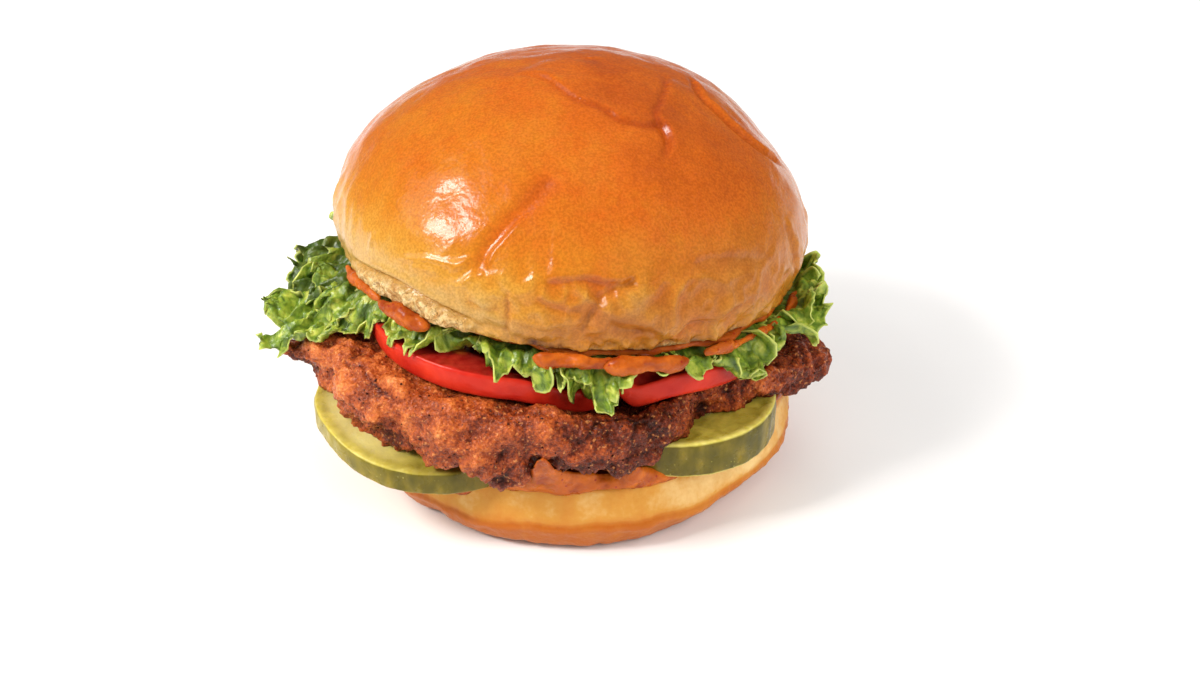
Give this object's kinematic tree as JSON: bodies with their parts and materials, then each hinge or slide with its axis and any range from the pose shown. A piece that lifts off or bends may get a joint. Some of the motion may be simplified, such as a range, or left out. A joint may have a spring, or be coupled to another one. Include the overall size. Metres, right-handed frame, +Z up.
{
  "type": "chicken burger",
  "caption": "Chicken burger: a glossy domed bun over frilled lettuce, tomato, a seasoned chicken fillet, pickle slices and spiced sauce, on a flat lower bun.",
  "frame": {"origin": "centre of the flat face under the lower bun, on the surface it rests on", "axes": "+Z up through the burger, -Y towards the side where the fillings show best, +X to the right seen from there"},
  "size_m": [0.1363, 0.1218, 0.0972],
  "materials": {
    "baked_bun": "gloss",
    "bun_side": "matte",
    "spiced_sauce": "gloss",
    "pickle": "gloss",
    "seasoned_chicken": "satin",
    "tomato": "gloss",
    "lettuce": "satin"
  },
  "bodies": {
    "root": {"bun_bottom": "bun_side", "sauce_bottom": "spiced_sauce", "pickle_left": "pickle", "pickle_right": "pickle", "chicken": "seasoned_chicken", "tomato_left": "tomato", "tomato_right": "tomato", "lettuce": "lettuce", "sauce_top": "spiced_sauce", "bun_top": "baked_bun"}
  },
  "joints": []
}
